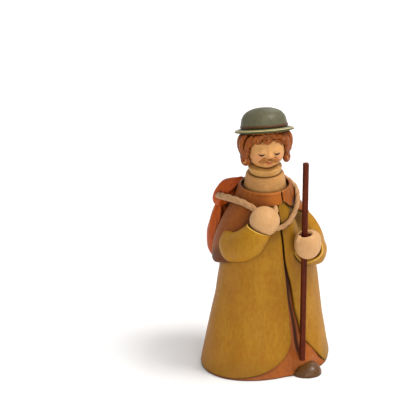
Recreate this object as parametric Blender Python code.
"""A carved and stained wooden nativity shepherd, about 200 mm tall, whose head lifts off its neck.

The shepherd faces -Y and stands on Z = 0, with the neck socket on the Z axis. Lengths are metres.
The carved body is drawn in units of a 150th of its height, and the head in units of a 48th of
its own height, so that one unit is 1 mm on the real figure. Angles round the body are degrees
from the shepherd's front, positive towards his left hand at +X.
"""

import math

import bmesh
import bpy
from mathutils import Euler, Matrix, Vector

# Driving dimensions
BODY_HEIGHT = 0.150
HEAD_HEIGHT = 0.048
HEAD_TURN = math.radians(-17)
COVER_GAP = 0.0003

# Turned neck ring, pressed into the body
RING_TOP_RADIUS = 0.0135
RING_FOOT_RADIUS = 0.0156
RING_SHOWN_HEIGHT = 0.0135
RING_TENON_RADIUS = 0.0125
RING_TENON_DEPTH = 0.006
RING_ROUNDING = 0.0007
SOCKET_RADIUS = 0.0101
SOCKET_DEPTH = 0.0082
SOCKET_CHAMFER = 0.0008

# Plug under the head
PLUG_LENGTH = 0.0050
PLUG_CLEARANCE = 0.0003
PLUG_TAPER = 0.0003
NECK_BAND_HEIGHT = 0.0052
NECK_BAND_FOOT_RADIUS = 0.0113
NECK_BAND_TOP_RADIUS = 0.0124
KEY_HOLE_RADIUS = 0.00175
KEY_HOLE_DEPTH = 0.004

# Square shepherd's staff
STAFF_WIDTH = 0.0034
STAFF_LENGTH = 0.157
STAFF_TURN = math.radians(-8)
STAFF_LEAN = (math.radians(-0.3), math.radians(0.8))
STAFF_FOOT_HEIGHT = 0.0128

# Depth sawn off under the robe, and the thickness of the carved layers
GROUND_DEPTH = 0.02
MANTLE_THICKNESS = 0.0023
CAPE_THICKNESS = 0.0022
COLLAR_GAP = 0.0015
COLLAR_TOP = 0.0092

# Height of the shoulders above the ring's foot, before the neck bore clears it
SHOULDER_RISE = 0.002

# How far the collar's lining reaches into the neck bore, which then trims all of it
LINING_OVERLAP = 0.001

UNIT = BODY_HEIGHT / 150
HEAD_UNIT = HEAD_HEIGHT / 48

# Body profiles in body units: (height, half-width along X) and (height, half-depth along Y)
HALF_WIDTHS = ((0, 50.2), (40, 43.0), (80, 36.5), (100, 33.5), (113, 29.5), (124, 24.0), (132, 20.0), (140, 17.0))
HALF_DEPTHS = ((0, 38.0), (40, 32.4), (80, 29.0), (100, 27.5), (113, 24.5), (124, 21.0), (132, 18.5), (140, 16.5))
SHOULDER_TOP = (BODY_HEIGHT - RING_SHOWN_HEIGHT + SHOULDER_RISE) / UNIT
SWAY = (2.2, 72, 34)

# Front edges of the mantle: (height, angle)
RIGHT_EDGE = ((0, 5.5), (27, 5.5), (36, 4.3), (50, 2.0), (70, -1.5), (95, -4.0), (138, -3.0))
LEFT_EDGE = ((0, 20.4), (30, 20.4), (42, 16.5), (55, 9.0), (71, 2.2), (92, -1.6), (138, -0.5))
RIGHT_CORNER = (31.0, 92.0, 2.2)
LEFT_CORNER = (30.0, 31.5, 1.05)
MANTLE_HEM = 0.9

# Lower edge of the cape: (angle, height)
CAPE_EDGE = (
    (-180, 101), (-142, 97), (-124, 83), (-106, 82.5), (-84, 87), (-62, 93), (-48, 110), (-38, 127),
    (-26, 131), (2, 131.5), (9, 133), (11, 133), (26, 128.5), (36, 126.5), (48, 123), (60, 118.5),
    (74, 114), (100, 109), (135, 106), (180, 101),
)
CAPE_SPLIT = 10.0

SHOE_CENTRE = (15.0, -38.6, 0.0)
SHOE_RADII = (9.8, 11.6, 8.3)
SHOE_TURN = math.radians(14)
SHOE_ANGLE = 19.0

RIGHT_ELBOW = (-31.0, -7.0, 98.0)
RIGHT_HAND = (-17.0, -29.5, 127.5)
RIGHT_HAND_RADIUS = 10.8
LEFT_ELBOW = (34.0, -8.0, 92.0)
LEFT_HAND = (14.0, -37.2, 103.5)
LEFT_HAND_RADIUS = 9.5


def smooth(table, at):
    """Value of a short profile at a point, on a curve with no overshoot between its stations."""
    if at <= table[0][0]:
        return table[0][1]
    if at >= table[-1][0]:
        return table[-1][1]
    slopes = [(b[1] - a[1]) / (b[0] - a[0]) for a, b in zip(table, table[1:])]
    tangents = [slopes[0]]
    for before, after in zip(slopes, slopes[1:]):
        tangents.append(0.0 if before * after <= 0 else 2 * before * after / (before + after))
    tangents.append(slopes[-1])
    for i, (a, b) in enumerate(zip(table, table[1:])):
        if at <= b[0]:
            width = b[0] - a[0]
            t = (at - a[0]) / width
            hermite = (2 * t**3 - 3 * t**2 + 1) * a[1] + (3 * t**2 - 2 * t**3) * b[1]
            bend = (t**3 - 2 * t**2 + t) * tangents[i] + (t**3 - t**2) * tangents[i + 1]
            return hermite + bend * width
    return table[-1][1]


def bump(value, centre, width):
    """A bell of height 1 round a centre."""
    return math.exp(-(((value - centre) / width) ** 2))


def body_point(angle, radius, height):
    """A point of the body from its angle in degrees, radius and height in body units, in metres."""
    a = math.radians(angle)
    sway = SWAY[0] * bump(height, SWAY[1], SWAY[2])
    return Vector((radius * math.sin(a) + sway, -radius * math.cos(a), height)) * UNIT


def body(point):
    """A point of the body given in body units, in metres."""
    return Vector(point) * UNIT


def mantle_radius(angle, height):
    """Radius of the mantle's outer surface, in body units."""
    a = math.radians(angle)
    wide, deep = smooth(HALF_WIDTHS, height), smooth(HALF_DEPTHS, height)
    radius = wide * deep / math.hypot(deep * math.sin(a), wide * math.cos(a))
    chest = bump(height, 112, 17)
    radius += 2.6 * chest * bump(angle, 13, 9) - 2.4 * chest * bump(angle, 31, 7)
    radius += 0.9 * bump(angle, -11, 8) * bump(height, 85, 40)
    radius += 3.2 * bump(angle, 42, 18) * bump(height, 0, 25)
    return radius


def robe_radius(angle, height):
    """Radius of the robe, which flares to the ground and is lifted by the shoe, in body units."""
    flare = max(0.0, 1 - height / 9) ** 2
    over_shoe = 4.6 * bump(angle, SHOE_ANGLE, 13) * bump(height, 9, 9)
    fold = 0.9 * bump(angle, 3, 5) * bump(height, 18, 26)
    return mantle_radius(angle, height) - MANTLE_THICKNESS / UNIT * (1 - flare) + over_shoe + fold


def mantle_hem(from_right, from_left):
    """Height of the mantle's lower edge at an angular distance from each of its front edges."""
    height = MANTLE_HEM
    for away, (corner, reach, power) in ((from_right, RIGHT_CORNER), (from_left, LEFT_CORNER)):
        if away < reach:
            round_off = (1 - (1 - away / reach) ** power) ** (1 / power)
            height = max(height, corner * (1 - round_off))
    return height


def cape_radius(angle, height):
    """Radius of the cape's outer surface, in body units."""
    arm = 4.4 * bump(angle, -122, 30) * bump(height, 88, 26)
    collar = (RING_FOOT_RADIUS + COLLAR_GAP + CAPE_THICKNESS) / UNIT
    return max(mantle_radius(angle, height) + CAPE_THICKNESS / UNIT + arm, collar)


def new_object(name, mesh):
    """Links a mesh to the scene as an object of that name."""
    obj = bpy.data.objects.new(name, mesh)
    bpy.context.scene.collection.objects.link(obj)
    return obj


def finish_mesh(name, shape, smooth_shading=True):
    """Turns a bmesh into an object with its faces pointing out."""
    bmesh.ops.remove_doubles(shape, verts=shape.verts, dist=1e-7)
    bmesh.ops.recalc_face_normals(shape, faces=shape.faces)
    mesh = bpy.data.meshes.new(name)
    shape.to_mesh(mesh)
    shape.free()
    if smooth_shading:
        mesh.shade_smooth()
        mesh.set_sharp_from_angle(angle=math.radians(40))
    return new_object(name, mesh)


def loft(name, rings):
    """A closed solid through rings of points, all of one count, with flat ends."""
    shape = bmesh.new()
    rows = [[shape.verts.new(p) for p in ring] for ring in rings]
    for low, high in zip(rows, rows[1:]):
        for i in range(len(low)):
            j = (i + 1) % len(low)
            shape.faces.new((low[i], low[j], high[j], high[i]))
    shape.faces.new(reversed(rows[0]))
    shape.faces.new(rows[-1])
    return finish_mesh(name, shape)


def lathe(name, profile, sides):
    """A turned solid from its profile of (radius, height), up the outside, with flat ends."""
    rings = []
    for radius, height in profile:
        turns = [2 * math.pi * (i + 0.5) / sides for i in range(sides)]
        rings.append([Vector((radius * math.cos(t), radius * math.sin(t), height)) for t in turns])
    return loft(name, rings)


def slab(name, outer, inner):
    """A closed solid between two grids of points that have the same rows and columns."""
    shape = bmesh.new()
    front = [[shape.verts.new(p) for p in row] for row in outer]
    back = [[shape.verts.new(p) for p in row] for row in inner]
    rows, columns = len(front), len(front[0])
    for r in range(rows - 1):
        for c in range(columns - 1):
            shape.faces.new((front[r][c], front[r][c + 1], front[r + 1][c + 1], front[r + 1][c]))
            shape.faces.new((back[r][c], back[r + 1][c], back[r + 1][c + 1], back[r][c + 1]))
    for r in range(rows - 1):
        for c in (0, columns - 1):
            shape.faces.new((front[r][c], front[r + 1][c], back[r + 1][c], back[r][c]))
    for c in range(columns - 1):
        for r in (0, rows - 1):
            shape.faces.new((front[r][c], back[r][c], back[r][c + 1], front[r][c + 1]))
    return finish_mesh(name, shape)


def curve_through(points, count):
    """Points of a smooth curve that passes through the given points."""
    path = [2 * points[0] - points[1], *points, 2 * points[-1] - points[-2]]
    spans = len(points) - 1
    found = []
    for i in range(count):
        at = spans * i / (count - 1)
        k = min(int(at), spans - 1)
        t = at - k
        a, b, c, d = path[k : k + 4]
        found.append(0.5 * (2 * b + (c - a) * t + (2 * a - 5 * b + 4 * c - d) * t**2 + (3 * b - a - 3 * c + d) * t**3))
    return found


def limb(name, points, radii, sides, stations):
    """A rounded tube along a curve, whose radius follows the given stations, with flat ends."""
    path = curve_through(points, stations)
    table = [(i / (len(radii) - 1), r) for i, r in enumerate(radii)]
    rings = []
    side = None
    for i, centre in enumerate(path):
        ahead = path[min(i + 1, stations - 1)] - path[max(i - 1, 0)]
        along = ahead.normalized()
        side = along.orthogonal() if side is None else side - along * side.dot(along)
        side.normalize()
        up = along.cross(side)
        radius = smooth(table, i / (stations - 1))
        turns = [2 * math.pi * k / sides for k in range(sides)]
        rings.append([centre + (side * math.cos(t) + up * math.sin(t)) * radius for t in turns])
    return loft(name, rings)


def ball(name, centre, radii, across=16, up=10, turn=(0, 0, 0)):
    """An ellipsoid."""
    shape = bmesh.new()
    bmesh.ops.create_uvsphere(shape, u_segments=across, v_segments=up, radius=1.0)
    place = Matrix.Translation(centre) @ Euler(turn).to_matrix().to_4x4() @ Matrix.Diagonal((*radii, 1))
    bmesh.ops.transform(shape, matrix=place, verts=shape.verts)
    return finish_mesh(name, shape)


def helper(obj):
    """Marks an object as one that only shapes another."""
    obj.hide_render = True
    obj.display_type = "WIRE"
    return obj


def combine(target, tools, operation="UNION"):
    """Adds tools to a solid, or cuts them from it."""
    for tool in tools:
        modifier = target.modifiers.new(tool.name, "BOOLEAN")
        modifier.operation = operation
        modifier.solver = "EXACT"
        modifier.object = helper(tool)
    return target


def material(obj, name, colour, roughness):
    """Gives an object its own stained-wood material."""
    finish = bpy.data.materials.new(name)
    finish.use_nodes = True
    shader = finish.node_tree.nodes["Principled BSDF"]
    shader.inputs["Base Color"].default_value = (*colour, 1)
    shader.inputs["Roughness"].default_value = roughness
    shader.inputs["Metallic"].default_value = 0.0
    obj.data.materials.append(finish)
    return obj


def make_robe():
    """The orange robe: the core of the body, flat underneath, with its top round the neck bore."""
    heights = [-2, 0.5, 4, 9, 16, 26, 42, 60, 80, 98, 112, 123, 131, SHOULDER_TOP - 1.5]
    rings = []
    for height in heights:
        angles = [360 * i / 40 for i in range(40)]
        rings.append([body_point(a, robe_radius((a + 180) % 360 - 180, height), height) for a in angles])
    return loft("carved_figure", rings)


def make_mantle():
    """The ochre mantle, open in front, with rounded lower corners."""
    columns = [0, 0.006, 0.016, 0.032, 0.055, 0.085, 0.12]
    columns += [0.12 + 0.78 * i / 20 for i in range(1, 21)] + [0.935, 0.96, 0.98, 0.992, 1]
    levels = [0, 0.05, 0.16, 0.32, 0.5, 0.66, 0.79, 0.88, 0.95, 1]
    outer, inner = [], []
    for level in levels:
        outer_row, inner_row = [], []
        for share in columns:
            sweep = 360 - (smooth(LEFT_EDGE, 27) - smooth(RIGHT_EDGE, 27))
            low = mantle_hem(share * sweep, (1 - share) * sweep)
            height = low + (SHOULDER_TOP - low) * level
            right, left = smooth(RIGHT_EDGE, height), smooth(LEFT_EDGE, height)
            angle = right - share * (360 - (left - right))
            angle = (angle + 180) % 360 - 180
            outer_row.append(body_point(angle, mantle_radius(angle, height), height))
            inner_row.append(body_point(angle, robe_radius(angle, height) - 4, height))
        outer.append(outer_row)
        inner.append(inner_row)
    return slab("mantle", outer, inner)


def make_cape():
    """The brown cape and its collar, which stands clear of the neck ring and overlaps in front."""
    top = BODY_HEIGHT / UNIT - COLLAR_TOP / UNIT
    lining = (RING_FOOT_RADIUS + COLLAR_GAP - LINING_OVERLAP) / UNIT
    count = 44
    levels = [0, 0.14, 0.38, 0.62, 0.82, 0.94, 1]
    outer, inner = [], []
    for level in levels:
        outer_row, inner_row = [], []
        for i in range(count + 1):
            angle = CAPE_SPLIT + 1.2 + (360 - 2.4) * i / count
            angle = (angle + 180) % 360 - 180
            low = smooth(CAPE_EDGE, angle)
            height = low + (top - low) * level
            inside = mantle_radius(angle, height) - 1.6
            if height > SHOULDER_TOP - 1:
                inside = min(inside, lining)
            outer_row.append(body_point(angle, cape_radius(angle, height), height))
            inner_row.append(body_point(angle, inside, height))
        outer.append(outer_row)
        inner.append(inner_row)
    return slab("cape", outer, inner)


def make_arms():
    """Both sleeves and both fists. The right fist grips the rope, the left one the staff."""
    sleeves = []
    for name, shoulder, biceps, elbow, cuff, reach, wide in (
        ("right", (-16, 2, 119), (-24, 0, 108), RIGHT_ELBOW, (-18.6, -25.4, 117.0), 10.0, 10.2),
        ("left", (17, 3, 119), (29, -1, 106), LEFT_ELBOW, (18.0, -32.4, 100), 9.4, 12.0),
    ):
        upper = [body(shoulder), body(biceps), body(elbow)]
        lower = [body(elbow), body(cuff)]
        sleeves.append(limb(f"{name}_upper_sleeve", upper, [8.0 * UNIT, 9.2 * UNIT, reach * UNIT], 14, 4))
        sleeves.append(ball(f"{name}_elbow", body(elbow), [reach * UNIT * 1.02] * 3, 13, 8, (0.1, 0.2, 0.3)))
        sleeves.append(limb(f"{name}_cuff", lower, [reach * UNIT * 0.97, wide * UNIT], 14, 4))
    fists = [
        ball("right_fist", body(RIGHT_HAND), [RIGHT_HAND_RADIUS * UNIT] * 3, 16, 10),
        ball("right_thumb", body((-8.6, -29.5, 131.5)), [u * UNIT for u in (2.2, 3.2, 4.6)], 9, 6, (0, 0.35, 0)),
        ball("left_fist", body(LEFT_HAND), [u * UNIT for u in (9.5, 9.3, 10.0)], 16, 10),
        ball("left_thumb", body((7.2, -41.0, 109.4)), [u * UNIT for u in (2.6, 3.0, 3.0)], 9, 6),
    ]
    return sleeves + fists


def make_sack():
    """The orange sack on his back: a hanging bag, and the gathered mouth above the rope."""
    profile = ((4, -24.5), (11, -22.5), (16.5, -17), (18.5, -9), (17.6, 1), (14.4, 11), (10, 19), (6.4, 25), (5.6, 29))
    bag = lathe("sack_bag", [(r * UNIT, z * UNIT) for r, z in profile], 18)
    hang = Euler((math.radians(6), math.radians(-14), math.radians(18))).to_matrix().to_4x4()
    bag.data.transform(Matrix.Translation(body((-15, 31, 96.5))) @ hang @ Matrix.Diagonal((1, 0.62, 1, 1)))
    mouth = [body(p) for p in ((-22.5, 27, 117), (-22, 25.5, 124), (-18, 22, 131), (-11, 18.5, 136), (-6, 18, 138))]
    return [bag, limb("sack_mouth", mouth, [u * UNIT for u in (4.0, 6.6, 7.6, 5.5, 2.0)], 12, 9)]


def make_rope():
    """The carved rope: from the sack's neck to the fist, and from the fist over the left shoulder."""
    front = (
        (-22.5, 27, 123), (-26.2, 22, 128), (-27.8, 12, 131.5), (-26.2, -1, 134),
        (-23.3, -12, 134.5), (-20.3, -22, 133), (-17, -27, 130),
    )
    around = (
        (-10, -27, 119), (-3.0, -27.6, 117), (6.2, -25.8, 118.8), (13.4, -22.0, 124), (18.8, -16.6, 129.5),
        (21.2, -8.5, 134.5), (20.8, 0, 137.5), (18.5, 9.5, 138.5), (10, 19, 137.5), (-2, 23.5, 134),
        (-14, 25.5, 128), (-21, 27, 122.5),
    )
    return [
        limb("rope_front", [body(p) for p in front], [u * UNIT for u in (2.9, 2.8, 2.4, 2.2)], 8, 12),
        limb("rope_round", [body(p) for p in around], [u * UNIT for u in (1.8, 1.7, 1.9, 2.2, 2.4)], 7, 24),
    ]


def make_ground():
    """The block below the ground that saws the underside flat."""
    return square_bar("ground", BODY_HEIGHT, -GROUND_DEPTH, 0.0, Matrix.Identity(4))


def staff_frame():
    """Where the staff stands: its foot, and its turn and lean."""
    turn = Euler((STAFF_LEAN[0], STAFF_LEAN[1], STAFF_TURN)).to_matrix().to_4x4()
    grip = body((9.8, -40.4, 104.5))
    lift = grip.z - STAFF_FOOT_HEIGHT
    foot = grip - turn.to_3x3() @ Vector((0, 0, lift))
    return Matrix.Translation(foot) @ turn


def square_bar(name, width, low, high, place):
    """A square bar along its own Z, placed by a matrix."""
    shape = bmesh.new()
    bmesh.ops.create_cube(shape, size=1.0)
    stretch = Matrix.Translation((0, 0, (low + high) / 2)) @ Matrix.Diagonal((width, width, high - low, 1))
    bmesh.ops.transform(shape, matrix=place @ stretch, verts=shape.verts)
    return finish_mesh(name, shape, smooth_shading=False)


def make_neck_ring():
    """The turned ring on the neck: a tapering collar over a tenon, bored for the head's plug."""
    foot = BODY_HEIGHT - RING_SHOWN_HEIGHT
    edge = RING_ROUNDING
    outline = [
        (RING_TENON_RADIUS, foot - RING_TENON_DEPTH),
        (RING_TENON_RADIUS, foot),
        (RING_FOOT_RADIUS - edge, foot),
        (RING_FOOT_RADIUS, foot + edge),
        (RING_TOP_RADIUS + edge * 0.5, BODY_HEIGHT - edge * 1.4),
        (RING_TOP_RADIUS - edge * 0.7, BODY_HEIGHT),
    ]
    ring = lathe("neck_ring", outline, 32)
    overshoot = 0.002
    widen = SOCKET_CHAMFER + overshoot
    bore = [
        (SOCKET_RADIUS, BODY_HEIGHT - SOCKET_DEPTH),
        (SOCKET_RADIUS, BODY_HEIGHT - SOCKET_CHAMFER),
        (SOCKET_RADIUS + widen, BODY_HEIGHT + overshoot),
    ]
    return combine(ring, [lathe("socket_bore", bore, 32)], "DIFFERENCE")


def make_body():
    """The carved figure, with its neck bore and the staff's hole through the left fist."""
    figure = make_robe()
    shoe = ball("shoe", body(SHOE_CENTRE), [u * UNIT for u in SHOE_RADII], 16, 9, (0, 0, SHOE_TURN))
    combine(figure, [make_mantle(), make_cape(), *make_arms(), *make_sack(), *make_rope(), shoe])
    foot = BODY_HEIGHT - RING_SHOWN_HEIGHT
    bore = [
        (RING_TENON_RADIUS + COVER_GAP, foot - RING_TENON_DEPTH - COVER_GAP),
        (RING_TENON_RADIUS + COVER_GAP, foot - COVER_GAP),
        (RING_FOOT_RADIUS + COLLAR_GAP, foot - COVER_GAP),
        (RING_FOOT_RADIUS + COLLAR_GAP, BODY_HEIGHT + 0.01),
    ]
    staff_hole = square_bar(
        "staff_hole", STAFF_WIDTH + 2 * COVER_GAP, -COVER_GAP, STAFF_LENGTH + 0.01, staff_frame()
    )
    return combine(figure, [lathe("neck_bore", bore, 32), staff_hole, make_ground()], "DIFFERENCE")


def head_matrix():
    """Seats the head on the neck ring, turned a little towards his right."""
    return Matrix.Translation((0, 0, BODY_HEIGHT + COVER_GAP)) @ Matrix.Rotation(HEAD_TURN, 4, "Z")


def head(point):
    """A point of the head given in head units, in metres, before it is seated."""
    return Vector(point) * HEAD_UNIT


def head_ball(name, centre, radii, across=14, up=9, turn=(0, 0, 0)):
    """An ellipsoid of the head, in head units."""
    return ball(name, head(centre), [r * HEAD_UNIT for r in radii], across, up, turn)


def make_neck_stem():
    """The turned foot of the head: the neck band, and the plug that drops into the socket."""
    plug = SOCKET_RADIUS - PLUG_CLEARANCE
    profile = [
        (plug - PLUG_TAPER, -PLUG_LENGTH),
        (plug, -PLUG_LENGTH * 0.15),
        (plug, 0.0),
        (NECK_BAND_FOOT_RADIUS, 0.0),
        (NECK_BAND_TOP_RADIUS, NECK_BAND_HEIGHT * 0.85),
        (NECK_BAND_TOP_RADIUS - 0.0006, NECK_BAND_HEIGHT),
        (NECK_BAND_TOP_RADIUS - 0.004, NECK_BAND_HEIGHT + 0.0035),
    ]
    return lathe("head", profile, 32)


def make_face():
    """The face: a full, calm doll's face with closed lids, a small nose and a moustache."""
    pieces = [head_ball("face", (0, -1.0, 20.0), (14.0, 14.2, 15.4), 22, 13)]
    pieces.append(head_ball("nose", (0, -15.6, 18.6), (2.1, 2.3, 2.7), 10, 7))
    pieces.append(head_ball("lips", (0, -14.6, 12.6), (2.2, 1.5, 1.1), 10, 6))
    for side, name in ((-1, "right"), (1, "left")):
        pieces.append(head_ball(f"{name}_lid", (side * 5.4, -12.3, 21.6), (3.6, 2.5, 3.1), 10, 6))
        pieces.append(head_ball(f"{name}_cheek", (side * 7.9, -8.9, 16.2), (4.7, 4.6, 4.6), 10, 7))
    side_points = ((7.0, -13.0, 14.4), (3.4, -14.9, 15.3))
    line = [(-x, y, z) for x, y, z in side_points] + [(0, -15.3, 15.8)] + list(reversed(side_points))
    whiskers = [u * HEAD_UNIT for u in (0.4, 1.5, 1.1, 1.5, 0.4)]
    pieces.append(limb("moustache", [head(p) for p in line], whiskers, 7, 11))
    return pieces


def make_hair():
    """Thick curls: a cap at the back, locks down both sides, and a fringe on the forehead."""
    pieces = [head_ball("hair_back", (0, 3.6, 19.5), (15.6, 12.6, 14.5), 16, 11)]
    locks = ((15.0, -4.2, 26.5, 3.4), (16.4, -2.4, 21.0, 3.9), (16.6, -0.6, 15.0, 4.4), (14.4, 3.0, 10.4, 4.4))
    for side, name in ((-1, "right"), (1, "left")):
        for i, (x, y, z, radius) in enumerate(locks):
            pieces.append(head_ball(f"{name}_lock_{i}", (side * x, y, z), (radius, radius, radius * 1.15), 9, 6))
    for i in range(3):
        turn = math.radians(45 * (i - 1))
        at = (11.8 * math.sin(turn), 4.8 - 12.6 * math.cos(turn), 9.0)
        pieces.append(head_ball(f"nape_lock_{i}", (at[0], -at[1] + 5, at[2]), (4.6, 4.0, 4.2), 9, 6))
    fringe = ((-8.2, -11.0, 28.6, 3.0), (-2.6, -13.2, 29.4, 3.3), (3.6, -12.4, 31.0, 2.8), (9.0, -10.2, 29.6, 2.8))
    for i, (x, y, z, radius) in enumerate(fringe):
        pieces.append(head_ball(f"fringe_{i}", (x, y, z), (radius, radius * 0.8, radius), 9, 6))
    return pieces


def make_hat():
    """The round hat, pushed back on the head: a domed crown over a short turned-down brim."""
    profile = [
        (12.0, -4.5), (19.6, -1.9), (21.2, -1.6), (21.5, -1.0), (20.6, -0.3), (17.4, 0.9), (16.9, 1.6),
        (16.6, 5.0), (15.6, 8.6), (13.4, 11.6), (10.2, 13.6), (6.0, 14.9), (2.0, 15.3),
    ]
    hat = lathe("hat", [(r * HEAD_UNIT, z * HEAD_UNIT) for r, z in profile], 26)
    place = Matrix.Translation(head((0, 2.6, 32.4))) @ Matrix.Rotation(math.radians(-20), 4, "X")
    hat.data.transform(place)
    return hat


def make_key_hole():
    """The small blind hole drilled in the front of the plug."""
    shape = bmesh.new()
    bmesh.ops.create_cone(
        shape, cap_ends=True, segments=16, radius1=KEY_HOLE_RADIUS, radius2=KEY_HOLE_RADIUS, depth=2 * KEY_HOLE_DEPTH
    )
    place = Matrix.Translation((0, -SOCKET_RADIUS, -PLUG_LENGTH / 2)) @ Matrix.Rotation(math.pi / 2, 4, "X")
    bmesh.ops.transform(shape, matrix=place, verts=shape.verts)
    return finish_mesh("key_hole", shape)


def make_head():
    """The head, carved in one with its hair, hat, neck and plug."""
    stem = make_neck_stem()
    tools = [*make_face(), *make_hair(), make_hat()]
    combine(stem, tools)
    drill = make_key_hole()
    combine(stem, [drill], "DIFFERENCE")
    for obj in [stem, *tools, drill]:
        obj.matrix_world = head_matrix()
    return stem


def clear_scene():
    """Removes whatever the scene holds."""
    for obj in list(bpy.data.objects):
        bpy.data.objects.remove(obj)


def main():
    """Builds the four pieces of the figurine."""
    clear_scene()
    material(make_body(), "stained_wood", (0.42, 0.26, 0.06), 0.5)
    material(make_neck_ring(), "bare_wood", (0.62, 0.42, 0.24), 0.55)
    material(make_head(), "painted_head", (0.55, 0.32, 0.17), 0.5)
    staff = square_bar("staff", STAFF_WIDTH, 0.0, STAFF_LENGTH, staff_frame())
    material(staff, "walnut_stain", (0.13, 0.04, 0.02), 0.45)


main()
